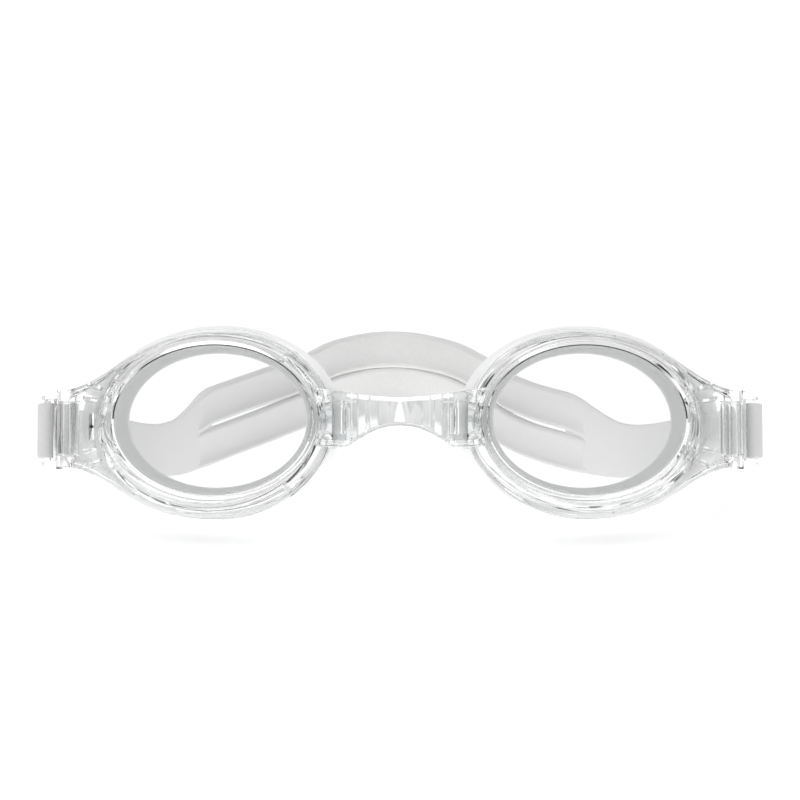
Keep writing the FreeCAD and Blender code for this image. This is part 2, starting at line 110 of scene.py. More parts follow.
def named(name):
    piece = bpy.context.object
    piece.name = piece.data.name = name
    return piece


def tidy(piece, smooth=35):
    """Merges doubles, turns the faces outwards and smooths all but the sharp edges."""
    pick(piece)
    bpy.ops.object.mode_set(mode="EDIT")
    bpy.ops.mesh.select_all(action="SELECT")
    bpy.ops.mesh.remove_doubles(threshold=0.0005)
    bpy.ops.mesh.normals_make_consistent(inside=False)
    bpy.ops.object.mode_set(mode="OBJECT")
    bpy.ops.object.shade_smooth_by_angle(angle=math.radians(smooth))
    print(piece.name, len(piece.data.polygons), "faces")
    return piece


# %% Extrude a tube from ring to ring
def tube(name, rings, caps=True):
    """A skin through rings of points, which all have the same count; caps close both ends."""
    start_clean()
    bpy.ops.mesh.primitive_circle_add(vertices=len(rings[0]), radius=1, fill_type="NOTHING")
    piece = named(name)
    bpy.ops.object.mode_set(mode="EDIT")
    bpy.ops.mesh.select_mode(type="VERT")
    shape = bmesh.from_edit_mesh(piece.data)
    order = {v.co.to_tuple(4): v.index for v in shape.verts}
    for count, ring in enumerate(rings):
        if count:
            bpy.ops.mesh.extrude_region()
            shape = bmesh.from_edit_mesh(piece.data)
        placed = {}
        for vertex in [v for v in shape.verts if v.select]:
            place = order[vertex.co.to_tuple(4)]
            vertex.co = ring[place]
            placed[vertex.co.to_tuple(4)] = place
        order = placed
        bmesh.update_edit_mesh(piece.data)
    if caps:
        bpy.ops.mesh.edge_face_add()
        bpy.ops.mesh.select_all(action="DESELECT")
        bpy.ops.mesh.select_non_manifold()
        bpy.ops.mesh.edge_face_add()
    bpy.ops.mesh.select_all(action="SELECT")
    bpy.ops.mesh.remove_doubles(threshold=0.0005)
    bpy.ops.mesh.normals_make_consistent(inside=False)
    bpy.ops.object.mode_set(mode="OBJECT")
    return piece


# %% Blocks, rods, cuts and soft edges
def block(name, low, high):
    start_clean()
    middle = [(a + b) / 2 for a, b in zip(low, high)]
    size = [b - a for a, b in zip(low, high)]
    bpy.ops.mesh.primitive_cube_add(size=1, location=middle, scale=size)
    bpy.ops.object.transform_apply(location=True, rotation=True, scale=True)
    return named(name)


def rod(name, x, y, radius, low, high, sides=40):
    start_clean()
    bpy.ops.mesh.primitive_cylinder_add(
        vertices=sides, radius=radius, depth=high - low, location=(x, y, (low + high) / 2))
    bpy.ops.object.transform_apply(location=True, rotation=True, scale=True)
    return named(name)


def boolean(piece, tool, operation):
    pick(piece)
    step = piece.modifiers.new(operation.lower(), "BOOLEAN")
    step.operation = operation
    step.solver = "EXACT"
    step.object = tool
    bpy.ops.object.modifier_apply(modifier=step.name)
    bpy.data.objects.remove(tool)
    return piece


def soften(piece, width, segments=2, angle=40):
    pick(piece)
    step = piece.modifiers.new("soft edges", "BEVEL")
    step.width = width
    step.segments = segments
    step.limit_method = "ANGLE"
    step.angle_limit = math.radians(angle)
    step.use_clamp_overlap = True
    bpy.ops.object.modifier_apply(modifier=step.name)
    return piece


def level(piece):
    """Large faces keep their own normals, so flat walls stay flat beside rounded edges."""
    pick(piece)
    step = piece.modifiers.new("level faces", "WEIGHTED_NORMAL")
    step.mode = "FACE_AREA"
    step.weight = 80
    step.keep_sharp = True
    bpy.ops.object.modifier_apply(modifier=step.name)
    return piece


# %% Mirror a finished piece and stand it in its place
def other_side(piece, name):
    twin = piece.copy()
    twin.data = piece.data.copy()
    twin.name = twin.data.name = name
    bpy.context.scene.collection.objects.link(twin)
    twin.data.transform(Matrix.Scale(-1, 4, (1, 0, 0)))
    twin.data.flip_normals()
    return twin


def stand(piece, matrix=EYE):
    piece.data.transform(matrix)
    piece.data.update()
    return piece


# %% [markdown]
# ## Lens
# Each lens is one clear polycarbonate moulding: a flat front plate, a side wall that flares back to
# a rim, a wing that runs out to the strap clip, and a small tongue that plugs into the bridge.
# It is drawn as one tube whose outline changes from the oval of the plate to the egg of the rim.

# %% Outlines of the lens
AROUND = 192
WINDOW = 36.5
ANGLES = [2 * math.pi * step / AROUND for step in range(AROUND)]
FACE_SLOPE = math.tan(math.radians(5))
RIM_SLOPE = math.tan(math.radians(12))
CURL = 0.018


def oval(shift, half_width, half_height, depth, slope=0.0, curl=0.0, rise=0.0):
    """An oval about the window, whose depth grows outboard by the slope and by the curl past 18."""
    ring = []
    for angle in ANGLES:
        out = shift + half_width * math.cos(angle)
        up = rise + half_height * math.sin(angle)
        ring.append(Vector((WINDOW + out, depth + slope * out + curl * max(0, out - 18) ** 2, up)))
    return ring


def curve_point(a, b, c, d, t):
    return [(1 - t) ** 3 * p + 3 * (1 - t) ** 2 * t * q + 3 * (1 - t) * t * t * r + t ** 3 * s
            for p, q, r, s in zip(a, b, c, d)]


RIM_HIGH = 19.4
RIM_INBOARD = 22.9
WING_TIP = 34.4
wing_edge = [curve_point((0, RIM_HIGH), (11, RIM_HIGH), (16.5, 16.1), (22, 12.3), t / 24)
             for t in range(25)]
wing_edge += [curve_point((22, 12.3), (26, 9.7), (29, 8.4), (32.6, 7.9), t / 12)
              for t in range(1, 13)]
wing_edge += [(33.7, 7.5), (34.3, 6.6), (WING_TIP, 5.4), (WING_TIP, 3), (WING_TIP, 0)]
lengths = [0]
for near, far in zip(wing_edge, wing_edge[1:]):
    lengths.append(lengths[-1] + math.dist(near, far))


def along_wing(share):
    want = share * lengths[-1]
    for count in range(1, len(lengths)):
        if lengths[count] >= want - 1e-9:
            part = (want - lengths[count - 1]) / (lengths[count] - lengths[count - 1])
            near, far = wing_edge[count - 1], wing_edge[count]
            return near[0] + (far[0] - near[0]) * part, near[1] + (far[1] - near[1]) * part
    return wing_edge[-1]


def egg(depth, trim=0.0):
    """The rim and wing seen from the front, trimmed inwards, lying on the rim's curled surface."""
    ring = []
    for angle in ANGLES:
        c, s = math.cos(angle), math.sin(angle)
        if c < -1e-9:
            out, up = (RIM_INBOARD - trim) * c, (RIM_HIGH - trim) * s
        else:
            out, up = along_wing(1 - abs(math.atan2(s, c)) / (math.pi / 2))
            out = out * (1 - trim / WING_TIP)
            up = math.copysign(up, s) * (1 - trim / RIM_HIGH)
        back = depth + RIM_SLOPE * out + CURL * max(0, out - 18) ** 2
        ring.append(Vector((WINDOW + out, back, up)))
    return ring


print("wing edge", round(lengths[-1], 1), "mm long")

# %% The channel between the side wall and the rim
def channel(inner, outer, share, sink):
    """A ring part of the way from one to the other, sunk where they stand well apart."""
    ring = []
    for a, b in zip(inner, outer):
        apart = math.hypot(b.x - a.x, b.z - a.z)
        spot = a.lerp(b, share)
        spot.y += sink * min(1, max(0, (apart - 1.0) / 2.2))
        ring.append(spot)
    return ring


wall_edge = oval(1.8, 23.5, 17.65, 5.25, RIM_SLOPE, CURL)
rim_edge = egg(8.05, 0.6)

# %% Skin of the lens
# The two rings that share a plane at each end keep the shading of the plate flat, so it doesn't
# magnify what is seen through it.
lens = tube("right_lens_clear", [
    oval(1.0, 20.2, 15.3, 0.0, FACE_SLOPE),
    oval(1.0, 20.7, 15.8, 0.0, FACE_SLOPE),
    oval(1.0, 20.98, 16.08, 0.1, FACE_SLOPE),
    oval(1.0, 21.1, 16.2, 0.38, FACE_SLOPE),
    oval(1.3, 21.9, 16.7, 2.3, FACE_SLOPE * 1.7, 0.005),
    oval(1.65, 22.9, 17.4, 4.5, RIM_SLOPE, CURL),
    oval(1.7, 23.15, 17.55, 4.95, RIM_SLOPE, CURL),
    wall_edge,
    channel(wall_edge, rim_edge, 0.09, 0.25),
    channel(wall_edge, rim_edge, 0.16, 2.0),
    channel(wall_edge, rim_edge, 0.70, 2.1),
    channel(wall_edge, rim_edge, 0.80, 0.2),
    channel(wall_edge, rim_edge, 0.86, -0.1),
    rim_edge,
    egg(8.3, 0.15),
    egg(8.7),
    egg(10.3),
    egg(10.6, 0.35),
    oval(1.5, 22.1, 16.5, 10.7, RIM_SLOPE, CURL),
    oval(1.4, 21.7, 16.1, 10.2, RIM_SLOPE, CURL),
    oval(1.0, 20.3, 15.35, 2.3, FACE_SLOPE),
    oval(1.0, 20.0, 15.1, 2.0, FACE_SLOPE),
    oval(1.0, 19.5, 14.6, 2.0, FACE_SLOPE),
])
print("lens skin", len(lens.data.polygons), "faces")

# %% Hub room, pocket, clip bar and tongue
bar_x, bar_y = CLIP_BAR.x, CLIP_BAR.y
boolean(lens, rod("upper_prong", bar_x, bar_y, 2.2, 5.6, 7.9), "UNION")
boolean(lens, rod("lower_prong", bar_x, bar_y, 2.2, -7.9, -5.6), "UNION")
boolean(lens, block("hub_room", (bar_x - 2.75, 8, -5.6), (bar_x + 6, 32, 5.6)), "DIFFERENCE")
boolean(lens, block("wing_pocket", (WINDOW + 26.0, 8, -2.7), (WINDOW + 28.7, 15.6, 2.7)), "DIFFERENCE")
for count, tilt in enumerate((-17, -11, 11, 17)):
    rib = block("rib", (25.6, 10, -0.35), (28.6, 15.0 + 0.4 * (count % 2), 0.35))
    turned = Matrix.Rotation(math.radians(tilt), 4, "Y")
    rib.data.transform(Matrix.Translation((WINDOW, 0, 0)) @ turned)
    boolean(lens, rib, "UNION")
boolean(lens, rod("clip_bar", bar_x, bar_y, 1.2, -6.4, 6.4), "UNION")
boolean(lens, block("tongue", (WINDOW - 27.6, 3.6, -3.8), (WINDOW - 21.5, 5.6, 3.8)), "UNION")
boolean(lens, block("tongue_slot", (WINDOW - 26.0, 3.0, -2.6), (WINDOW - 24.9, 7.0, 2.6)), "DIFFERENCE")
soften(lens, 0.22)
level(tidy(lens, 30))
left_lens = other_side(lens, "left_lens_clear")

# %% [markdown]
# ## Face seal
# The seal is translucent silicone. It lines the lens cavity as a thick sleeve behind the plate, then
# flares out to a soft lip that rests on the face. One closed ring of sections makes sleeve, flare
# and rolled lip together, so no seam shows through the clear lens.

# %% Sleeve, flare and lip
LIP_SLOPE = math.tan(math.radians(16))
MID_SLOPE = math.tan(math.radians(8))
seal = tube("right_seal_soft", [
    oval(0.0, 17.9, 13.5, 2.75, FACE_SLOPE),
    oval(0.1, 18.2, 13.75, 2.3, FACE_SLOPE),
    oval(0.9, 19.5, 14.7, 2.12, FACE_SLOPE),
    oval(1.0, 20.0, 15.05, 2.5, FACE_SLOPE),
    oval(1.25, 20.75, 15.5, 6.2, MID_SLOPE, 0.008),
    oval(1.4, 21.45, 15.85, 10.2, RIM_SLOPE, 0.012),
    oval(1.45, 21.6, 16.0, 11.3, RIM_SLOPE, 0.014),
    oval(1.5, 23.0, 17.2, 12.1, RIM_SLOPE, 0.012),
    oval(1.55, 24.9, 19.1, 13.7, LIP_SLOPE, 0, 0.3),
    oval(1.6, 26.0, 20.25, 15.7, LIP_SLOPE, 0, 0.5),
    oval(1.6, 26.5, 20.7, 17.3, LIP_SLOPE, 0, 0.5),
    oval(1.6, 26.35, 20.55, 18.0, LIP_SLOPE, 0, 0.5),
    oval(1.6, 25.8, 20.0, 18.3, LIP_SLOPE, 0, 0.5),
    oval(1.6, 24.9, 19.1, 18.2, LIP_SLOPE, 0, 0.5),
    oval(1.6, 24.1, 18.2, 17.4, LIP_SLOPE, 0, 0.4),
    oval(1.55, 22.9, 16.8, 15.3, LIP_SLOPE),
    oval(1.4, 20.9, 15.2, 12.9, RIM_SLOPE, 0.008),
    oval(1.0, 19.6, 14.4, 9.6, MID_SLOPE, 0.008),
    oval(0.4, 18.6, 13.9, 6.0, MID_SLOPE),
    oval(0.0, 17.95, 13.55, 3.4, FACE_SLOPE),
    oval(0.0, 17.9, 13.5, 2.75, FACE_SLOPE),
], caps=False)
tidy(seal, 60)
left_seal = other_side(seal, "left_seal_soft")

# %% [markdown]
# ## Nose bridge
# The bridge is a soft clear arch. Its two sockets take the lens tongues, and upright ribs stiffen it
# between them. Sections across the nose carry the dished top, the arch and the ribs; then the shape
# of the lens is cut from both ends, so that they meet along one even gap.

# %% Sections of the bridge
def between(table, x):
    """Straight-line look-up of a value in rows of (distance from the middle, value)."""
    x = abs(x)
    for (x0, v0), (x1, v1) in zip(table, table[1:]):
        if x <= x1:
            return v0 + (v1 - v0) * (x - x0) / (x1 - x0)
    return table[-1][1]


TOP = [(0, 4.75), (3, 4.85), (6, 5.05), (10, 5.45), (14, 6.0), (17.5, 6.5)]
BOTTOM = [(0, -0.9), (2, -1.05), (4, -1.55), (6, -2.4), (8, -3.6), (9.5, -4.7), (10.8, -5.4),
          (17.5, -5.4)]
FRONT = [(0, 2.1), (1.5, 1.9), (2.8, 1.4), (4.3, 1.05), (4.6, 1.45), (5.9, 1.35), (6.2, 0.8),
         (6.7, 0.7), (7.0, 1.15), (8.3, 1.0), (8.6, 0.4), (9.5, 0.2), (9.8, 0.6), (10.7, 0.4),
         (11.0, -0.2), (13.5, -0.9), (17.5, -1.6)]
REAR = [(0, 5.6), (3, 5.9), (6, 6.4), (10, 6.6), (17.5, 6.6)]
stations = sorted({side * x for side in (-1, 1) for x in (
    0, 0.8, 1.5, 2.2, 2.8, 3.6, 4.3, 4.6, 5.2, 5.9, 6.2, 6.7, 7.0, 7.6, 8.3, 8.6, 9.0, 9.5, 9.8,
    10.2, 10.7, 11.0, 11.8, 12.6, 13.4, 14.2, 15, 15.8, 16.6, 17.5)})


def bridge_section(x, corner=0.75, steps=4):
    low, high = between(BOTTOM, x), between(TOP, x)
    front, rear = between(FRONT, x), between(REAR, x)
    ring = []
    for cy, cz, start in ((rear, high, 0), (front, high, 90), (front, low, 180), (rear, low, 270)):
        ny = cy - corner if cy == rear else cy + corner
        nz = cz - corner if cz == high else cz + corner
        for step in range(steps + 1):
            turn = math.radians(start + 90 * step / steps)
            ring.append(Vector((x, ny + corner * math.cos(turn), nz + corner * math.sin(turn))))
    return ring


bridge = tube("nose_bridge_clear", [bridge_section(x) for x in stations])
print("bridge blank", len(stations), "sections")

# %% Cut the lens shape, the sockets and the catch windows
GAP = 0.25
for side in (1, -1):
    room = tube("lens_room", [
        oval(1.0, 21.1 + GAP, 16.2 + GAP, -3.0, FACE_SLOPE),
        oval(1.0, 21.1 + GAP, 16.2 + GAP, 0.3, FACE_SLOPE),
        oval(1.3, 21.9 + GAP, 16.7 + GAP, 2.2, FACE_SLOPE * 1.7),
        oval(1.7, 23.2 + GAP, 17.6 + GAP, 4.7, RIM_SLOPE),
        oval(0.0, 22.9 + GAP, 18.7 + GAP, 8.0, RIM_SLOPE),
        oval(0.0, 22.9 + GAP, 18.7 + GAP, 20.0, RIM_SLOPE),
    ])
    socket = block("socket", (WINDOW - 27.85, 3.4, -4.0), (WINDOW - 18, 5.8, 4.0))
    window = block("catch_window", (11.8, -3, -2.9), (13.6, 4.5, 4.0))
    for tool in (room, socket, window):
        if side < 0:
            tool.data.transform(Matrix.Scale(-1, 4, (1, 0, 0)))
            tool.data.flip_normals()
        boolean(bridge, tool, "DIFFERENCE")
soften(bridge, 0.18, angle=45)
level(tidy(bridge, 32))

# %% [markdown]
# ## Strap clips
# A clip is a small clear plate that snaps onto the lens's upright bar with a hollow hub, and holds
# the strap on a thin bar across an open slot. It is built from simple solids that are joined and
# cut, as the mould's own cutters would do it, then every edge is softened.

# %% Hub, plate, slot and strap bar
clip = tube("right_clip_clear", [
    [Vector((2.6, y, -8.2)), Vector((7.5, y, -7.2)), Vector((7.5, y, 7.2)), Vector((2.6, y, 8.2))]
    for y in (-0.9, 0.9)
])
boolean(clip, block("web", (1.2, -0.9, -5.2), (3.6, 0.9, 5.2)), "UNION")
boolean(clip, rod("hub", 0, 0, 2.3, -5.2, 5.2), "UNION")
boolean(clip, block("strap_slot", (3.6, -3, -6.5), (9, 3, 6.5)), "DIFFERENCE")
boolean(clip, rod("strap_bar", 6.6, 0, 0.75, -6.8, 6.8, 24), "UNION")
boolean(clip, rod("bore", 0, 0, 1.3, -6, 6), "DIFFERENCE")
mouth = block("mouth", (0.6, -0.85, -6), (3.3, 0.85, 6))
mouth.data.transform(Matrix.Rotation(math.radians(-120), 4, "Z"))
boolean(clip, mouth, "DIFFERENCE")
soften(clip, 0.22)
level(tidy(clip, 32))
clip.data.transform(Matrix.Translation(CLIP_BAR) @ Matrix.Rotation(math.radians(43), 4, "Z"))
left_clip = other_side(clip, "left_clip_clear")

# %% [markdown]
# ## Strap
# The strap is one flat silicone band. Each end passes through a clip's slot, turns back round the
# bar and lies against itself as a free tail. Behind the temples it widens and a long slit splits it
# into an upper and a lower leg. A smooth curve gives the route, and the band is extruded along it.

# %% Route of the band, from the right clip round to the left one
STRAP_BAR = Vector((73.427, 25.001, 0))
leave_angle = math.radians(38)
away = Vector((-math.sin(leave_angle), math.cos(leave_angle), 0))
outward = Vector((away.y, -away.x, 0))
TURN = 1.5  # from the strap bar's axis to the middle of the band around it
THICK = 1.2
HANDLE = 5  # length of the route's end handles
begin = EYE @ (STRAP_BAR - outward * TURN) * 1000
leave = LEAN @ away
STRAP_REACH = 123
REAR_Y = origin.y * 1000 + STRAP_REACH
shares = [(0.86, 0.11), (0.69, 0.24), (0.51, 0.35), (0.37, 0.51), (0.29, 0.72), (0.14, 0.94),
          (0, 1), (-0.14, 0.94), (-0.29, 0.73), (-0.49, 0.49), (-0.69, 0.26), (-0.86, 0.11)]
plan = [Vector((begin.x, begin.y, 0))]
for x_share, y_share in shares:
    drift = 2 * y_share * y_share * (3 - 2 * y_share)
    plan.append(Vector((x_share * begin.x - drift, begin.y + y_share * (REAR_Y - begin.y), 0)))
plan.append(Vector((-begin.x, begin.y, 0)))

start_clean()
bpy.ops.curve.primitive_bezier_curve_add()
route = bpy.context.object
spline = route.data.splines[0]
spline.bezier_points.add(len(plan) - 2)
route.data.dimensions = "3D"
for point, place in zip(spline.bezier_points, plan):
    point.co = place
    point.handle_left_type = point.handle_right_type = "AUTO"
spline.resolution_u = 30
for point, side in ((spline.bezier_points[0], 1), (spline.bezier_points[-1], -1)):
    point.handle_left_type = point.handle_right_type = "FREE"
    reach = Vector((side * leave.x, leave.y, 0)) * HANDLE
    point.handle_right = point.co + reach * side
    point.handle_left = point.co - reach * side
bpy.ops.object.convert(target="MESH")
track = [v.co.copy() for v in bpy.context.object.data.vertices]
bpy.data.objects.remove(bpy.context.object)
distance = [0.0]
for near, far in zip(track, track[1:]):
    distance.append(distance[-1] + (far - near).length)
LOOP = distance[-1]
print("band", len(track), "points,", round(LOOP, 1), "mm from clip to clip")

# %% Height, lean and width of the band along its route
UP = LEAN @ Vector((0, 0, 1))
SETTLE = 42.0  # distance over which the band comes down to the floor
SINGLE = 5.7  # half widths of the single band and of the wide split one
WIDE = 8.7
WIDEN_START, WIDEN_RUN = 31, 20
TAIL = 38
LEGS_START = 43.5  # the legs start inside the sunk end of the single band
SLIT_START = 44
BAND_END = 50
SEAM = 60


def ease(t):
    t = min(1, max(0, t))
    return t * t * (3 - 2 * t)


def on_track(along):
    """Plan position and direction at a distance along the route."""
    along = min(max(along, 0), LOOP)
    low, high = 0, len(distance) - 1
    while high - low > 1:
        mid = (low + high) // 2
        if distance[mid] <= along:
            low = mid
        else:
            high = mid
    part = (along - distance[low]) / max(1e-9, distance[high] - distance[low])
    return track[low].lerp(track[high], part), (track[high] - track[low]).normalized()


def half_width(along):
    from_clip = min(along, LOOP - along)
    return SINGLE + (WIDE - SINGLE) * ease((from_clip - WIDEN_START) / WIDEN_RUN)


def band_frame(along):
    """Middle of the band, its direction, its outward side and its upward edge direction."""
    place, ahead = on_track(along)
    from_clip = min(along, LOOP - along)
    t = min(1, from_clip / SETTLE)
    drop = (2 * t ** 3 - 3 * t * t + 1) * begin.z + (t ** 3 - 2 * t * t + t) * leave.z * SETTLE
    drop += (3 * t * t - 2 * t ** 3) * (half_width(along) + 0.05)
    up = UP.lerp(Vector((0, 0, 1)), ease(from_clip / SETTLE)).normalized()
    up = (up - ahead * up.dot(ahead)).normalized()
    side = ahead.cross(up).normalized()
    return Vector((place.x, place.y, drop)), ahead, side, up


def outer_side(place, side):
    """Whichever of side and -side points away from the middle of the loop."""
    centre = Vector((0, 20, 0))
    inwards = (place + side * 5 - centre).length < (place - side * 5 - centre).length
    return -side if inwards else side


def half_slit(along):
    """Half the slit: it gapes a little near the clips, and the legs lie close together behind."""
    from_clip = min(along, LOOP - along)
    gape = ease((from_clip - SLIT_START) / 5) * (1 - ease((from_clip - 62) / 25))
    return 0.14 + 0.3 * gape


print("height at the clip", round(band_frame(0)[0].z, 2),
      "and behind", round(band_frame(LOOP / 2)[0].z, 2))

# %% Section of a band between two heights, with rounded edges and raised rims
def band_section(place, side, up, low, high, thick=THICK, rim=0.0):
    """Rounded strip; rim thickens it near both of its edges."""
    half = thick / 2
    edge = min(0.5, (high - low) / 4)
    outline = [(half * 0.4, high), (half * 0.85 + rim * 0.6, high - edge * 0.25),
               (half + rim, high - edge), (half + rim, high - edge - 0.5), (half, high - edge - 0.9),
               (half, (low + high) / 2),
               (half, low + edge + 0.9), (half + rim, low + edge + 0.5), (half + rim, low + edge),
               (half * 0.85 + rim * 0.6, low + edge * 0.25), (half * 0.4, low)]
    ring = [place + side * out + up * height for out, height in outline]
    ring += [place - side * out + up * height for out, height in reversed(outline)]
    return ring


def run(first, last, step=1.0):
    count = max(2, math.ceil(abs(last - first) / step))
    return [first + (last - first) * part / count for part in range(count + 1)]


# %% A clip end: free tail, turn round the strap bar, single band
LYING = THICK + 0.12  # from the band's middle to the middle of the tail that lies on it
TURN_STEPS = 18


def clip_end(name, left):
    """Tail, turn and single band of one side, ending where the two legs take over."""
    rings = []
    for along in run(TAIL, 1.0):
        spot = LOOP - along if left else along
        place, ahead, side, up = band_frame(spot)
        outer = outer_side(place, side)
        lift = LYING + (2 * TURN - LYING) * (1 - ease(along / 14))
        narrow = SINGLE - 0.9 * max(0, (along - TAIL + 0.8) / 0.8) ** 2
        rings.append(band_section(place + outer * lift, outer, up, -narrow, narrow))
    for step in range(TURN_STEPS + 1):
        turn = math.pi * step / TURN_STEPS
        radial = outward * math.cos(turn) - away * math.sin(turn)
        place = EYE @ (STRAP_BAR + radial * TURN) * 1000
        direction = LEAN @ radial
        if left:
            place.x, direction.x = -place.x, -direction.x
        rings.append(band_section(place, direction, UP, -SINGLE, SINGLE))
    for along in run(1.0, BAND_END):
        spot = LOOP - along if left else along
        place, ahead, side, up = band_frame(spot)
        outer = outer_side(place, side)
        sunk = ease((along - SLIT_START) / 3)
        wide = half_width(spot) - 0.5 * sunk
        rings.append(band_section(place, -outer, up, -wide, wide, THICK - 0.5 * sunk))
    piece = tube(name, rings)
    piece.data.transform(Matrix.Scale(0.001, 4))
    return piece


def leg(name, first, last, upper):
    """One leg of the split band, from one distance to another along the route."""
    rings = []
    for along in run(first, last, 1.4):
        place, ahead, side, up = band_frame(along)
        wide, slit = half_width(along), half_slit(along)
        low, high = (slit, wide) if upper else (-wide, -slit)
        grown = ease((min(along, LOOP - along) - SLIT_START + 1) / 3)
        rings.append(band_section(place, side, up, low, high, THICK - 0.3 * (1 - grown), 0.45 * grown))
    piece = tube(name, rings)
    piece.data.transform(Matrix.Scale(0.001, 4))
    return piece


def joined(name, parts):
    start_clean()
    for part in parts:
        part.select_set(True)
    bpy.context.view_layer.objects.active = parts[0]
    bpy.ops.object.join()
    return named(name)


# %% The three lengths of the strap
strap_right = joined("strap_right_end", [
    clip_end("right_end", False),
    leg("right_upper", LEGS_START, SEAM, True),
    leg("right_lower", LEGS_START, SEAM, False),
])
strap_left = joined("strap_left_end", [
    clip_end("left_end", True),
    leg("left_upper", LOOP - LEGS_START, LOOP - SEAM, True),
    leg("left_lower", LOOP - LEGS_START, LOOP - SEAM, False),
])
strap_middle = joined("strap_rear_legs", [
    leg("rear_upper", SEAM, LOOP - SEAM, True),
    leg("rear_lower", SEAM, LOOP - SEAM, False),
])
for piece in (strap_right, strap_left, strap_middle):
    pick(piece)
    bpy.ops.object.mode_set(mode="EDIT")
    bpy.ops.mesh.select_all(action="SELECT")
    bpy.ops.mesh.normals_make_consistent(inside=False)
    bpy.ops.object.mode_set(mode="OBJECT")
    bpy.ops.object.shade_smooth_by_angle(angle=math.radians(50))
    print(piece.name, len(piece.data.polygons), "faces")

# %% [markdown]
# ## Finishes
# Clear polycarbonate and the softer clear bridge are nearly the same glass-like shader with another
# index and roughness. The seal is milky silicone: almost opaque, with a faint painted glow, light that
# it gives off itself, which brightens it and stands in for the light that spreads inside it. The strap
# is opaque matt silicone. Fine noise in the bump and roughness gives each its moulded skin.

# %% Shader helpers
def finish(name, colour, roughness, ior=1.45, transmission=0.0, glow=0.0):
    material = bpy.data.materials.new(name)
    material.use_nodes = True
    shader = material.node_tree.nodes["Principled BSDF"]
    shader.inputs["Base Color"].default_value = (*colour, 1)
    shader.inputs["Roughness"].default_value = roughness
    shader.inputs["IOR"].default_value = ior
    shader.inputs["Transmission Weight"].default_value = transmission
    if glow:
        shader.inputs["Emission Color"].default_value = (1, 1, 1, 1)
        shader.inputs["Emission Strength"].default_value = glow
    return material


def grain(material, scale, bump, rough_low, rough_high, detail=4.0):
    """Noise that changes the roughness a little and lifts the skin by a few microns."""
    tree = material.node_tree
    shader = tree.nodes["Principled BSDF"]
    coordinates = tree.nodes.new("ShaderNodeTexCoord")
    noise = tree.nodes.new("ShaderNodeTexNoise")
    noise.inputs["Scale"].default_value = scale
    noise.inputs["Detail"].default_value = detail
    tree.links.new(coordinates.outputs["Object"], noise.inputs["Vector"])
    spread = tree.nodes.new("ShaderNodeMapRange")
    spread.inputs["To Min"].default_value = rough_low
    spread.inputs["To Max"].default_value = rough_high
    tree.links.new(noise.outputs["Fac"], spread.inputs["Value"])
    tree.links.new(spread.outputs["Result"], shader.inputs["Roughness"])
    relief = tree.nodes.new("ShaderNodeBump")
    relief.inputs["Strength"].default_value = 1.0
    relief.inputs["Distance"].default_value = bump
    tree.links.new(noise.outputs["Fac"], relief.inputs["Height"])
    tree.links.new(relief.outputs["Normal"], shader.inputs["Normal"])
    return noise


def tint(material, noise, dark, light):
    """Lets the same noise shift the colour slightly."""
    tree = material.node_tree
    ramp = tree.nodes.new("ShaderNodeValToRGB")
    ramp.color_ramp.elements[0].position = 0.3
    ramp.color_ramp.elements[1].position = 0.7
    ramp.color_ramp.elements[0].color = (*dark, 1)
    ramp.color_ramp.elements[1].color = (*light, 1)
    tree.links.new(noise.outputs["Fac"], ramp.inputs["Fac"])
    tree.links.new(ramp.outputs["Color"], tree.nodes["Principled BSDF"].inputs["Base Color"])


# %% The five finishes
lens_clear = finish("clear_polycarbonate", (0.985, 0.99, 0.99), 0.0, 1.585, 1.0)
grain(lens_clear, 60, 0.000002, 0.0, 0.008, 1.0)
bridge_clear = finish("soft_clear_plastic", (0.955, 0.965, 0.965), 0.06, 1.5, 1.0)
grain(bridge_clear, 260, 0.000012, 0.03, 0.12, 3.0)
clip_clear = finish("clip_plastic", (0.965, 0.975, 0.98), 0.03, 1.54, 1.0)
grain(clip_clear, 200, 0.00001, 0.01, 0.06, 3.0)
# The seal's glow is painted light: the seal gives off a little light of its own, which brightens the
# whole seal.
seal_milk = finish("milky_silicone", (0.96, 0.965, 0.965), 0.35, 1.42, 0.04, glow=0.14)
seal_noise = grain(seal_milk, 160, 0.00001, 0.28, 0.45, 2.0)
tint(seal_milk, seal_noise, (0.96, 0.965, 0.965), (0.985, 0.99, 0.99))
strap_white = finish("matt_white_silicone", (0.84, 0.845, 0.84), 0.5, 1.42)
strap_noise = grain(strap_white, 1400, 0.00002, 0.42, 0.6)
tint(strap_white, strap_noise, (0.85, 0.85, 0.845), (0.89, 0.89, 0.885))
print("finishes:", [material.name for material in bpy.data.materials])

# %% [markdown]
# ## Put the pieces on their bodies
# Hard parts ride on one body. The bridge bends between the two eye cups; here it is only placed and
# finished. The strap has three joints along it, so it is drawn as three lengths that meet at two
# seams; they are placed and finished, not put on bodies.

# %% Place, finish and attach
for piece, material, slot, body, node in (
    (lens, lens_clear, "clear_polycarbonate", "right_eye", "right_lens"),
    (left_lens, lens_clear, "clear_polycarbonate", "left_eye", "left_lens"),
    (seal, seal_milk, "seal_silicone", "right_eye", "right_gasket"),
    (left_seal, seal_milk, "seal_silicone", "left_eye", "left_gasket"),
    (clip, clip_clear, "clip_plastic", "right_buckle", "right_clip"),
    (left_clip, clip_clear, "clip_plastic", "left_buckle", "left_clip"),
):
    stand(piece)
    piece.data.materials.clear()
    piece.data.materials.append(material)
    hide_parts(node)
    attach(piece, body)

stand(bridge)
bridge.data.materials.clear()
bridge.data.materials.append(bridge_clear)
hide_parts("nose_bridge")
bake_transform(bridge)

for piece in (strap_right, strap_left, strap_middle):
    piece.data.materials.clear()
    piece.data.materials.append(strap_white)
    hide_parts("strap")
back = Vector((leave.x, leave.y, 0)).normalized()
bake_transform(strap_right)
back.x = -back.x
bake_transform(strap_left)
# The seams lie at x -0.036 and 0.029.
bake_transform(strap_middle)

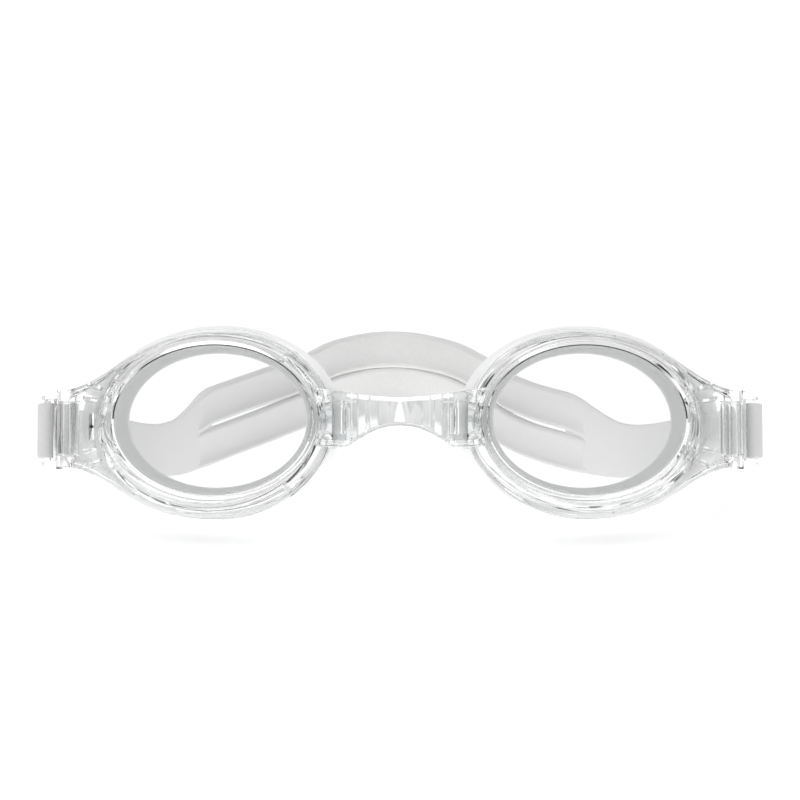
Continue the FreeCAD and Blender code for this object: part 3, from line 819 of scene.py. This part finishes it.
# %% [markdown]
# ## Floor and light
# Clear plastic shows what is behind and around it. A white floor and a bright room give the clean
# look, with a dimmer wall behind the goggles so that white parts still stand out. A small dark patch
# behind the camera, and dark strips at the sides and above, draw fine lines along the clear edges.

# %% Floor
start_clean()
bpy.ops.mesh.primitive_plane_add(size=12, location=(0, 2, 0))
floor = named("floor")
paper = finish("white_paper", (0.93, 0.93, 0.93), 0.9, glow=0.42)
grain(paper, 40, 0.00001, 0.85, 0.95)
floor.data.materials.append(paper)

# %% Room light
world = bpy.data.worlds.new("room")
bpy.context.scene.world = world
world.use_nodes = True
room = world.node_tree
sky = room.nodes["Background"]
where = room.nodes.new("ShaderNodeTexCoord")
split = room.nodes.new("ShaderNodeSeparateXYZ")
shade = room.nodes.new("ShaderNodeValToRGB")
spread = room.nodes.new("ShaderNodeMapRange")
spread.inputs["From Min"].default_value = -1
spread.inputs["From Max"].default_value = 1
room.links.new(where.outputs["Generated"], split.inputs["Vector"])
room.links.new(split.outputs["Y"], spread.inputs["Value"])
room.links.new(spread.outputs["Result"], shade.inputs["Fac"])
shade.color_ramp.elements[0].position = 0.085
shade.color_ramp.elements[0].color = (0.03, 0.03, 0.032, 1)
shade.color_ramp.elements[1].position = 0.105
shade.color_ramp.elements[1].color = (1, 1, 1, 1)
for position, grey in ((0.24, 1), (0.34, 0.78), (0.62, 0.62)):
    shade.color_ramp.elements.new(position).color = (grey, grey, grey, 1)
sky.inputs["Strength"].default_value = 1.2
print("room:", len(shade.color_ramp.elements), "shades from front to back")


# %% Dark strips in the room
def dark_strip(source, start, low, high, end):
    """White, with a dark strip between low and high that fades out at start and end."""
    strip = room.nodes.new("ShaderNodeValToRGB")
    strip.color_ramp.elements[0].position = start
    strip.color_ramp.elements[0].color = (1, 1, 1, 1)
    strip.color_ramp.elements[1].position = end
    strip.color_ramp.elements[1].color = (1, 1, 1, 1)
    for position in (low, high):
        strip.color_ramp.elements.new(position).color = (0.02, 0.02, 0.022, 1)
    room.links.new(source, strip.inputs["Fac"])
    return strip.outputs["Color"]


def multiplied(first, second):
    both = room.nodes.new("ShaderNodeMix")
    both.data_type = "RGBA"
    both.blend_type = "MULTIPLY"
    both.inputs["Factor"].default_value = 1.0
    room.links.new(first, both.inputs["A"])
    room.links.new(second, both.inputs["B"])
    return both.outputs["Result"]


sideways = room.nodes.new("ShaderNodeMath")
sideways.operation = "ABSOLUTE"
room.links.new(split.outputs["X"], sideways.inputs[0])
side_strips = dark_strip(sideways.outputs["Value"], 0.74, 0.78, 0.92, 0.97)
upper_strip = dark_strip(split.outputs["Z"], 0.4, 0.42, 0.56, 0.58)
light = multiplied(multiplied(shade.outputs["Color"], side_strips), upper_strip)
room.links.new(light, sky.inputs["Color"])
print("room nodes:", len(room.nodes))

# %% Softbox and view settings
bpy.ops.object.light_add(type="AREA", location=(-0.25, -0.1, 0.9))
softbox = bpy.context.object
softbox.data.size = 0.9
softbox.data.energy = 1.5
softbox.rotation_euler = (-softbox.location).to_track_quat("-Z", "Y").to_euler()

scene = bpy.context.scene
scene.view_settings.view_transform = "Standard"
scene.cycles.max_bounces = 20
scene.cycles.transmission_bounces = 20
scene.cycles.glossy_bounces = 16
scene.cycles.diffuse_bounces = 6
scene.cycles.use_denoising = True
print("light ready")
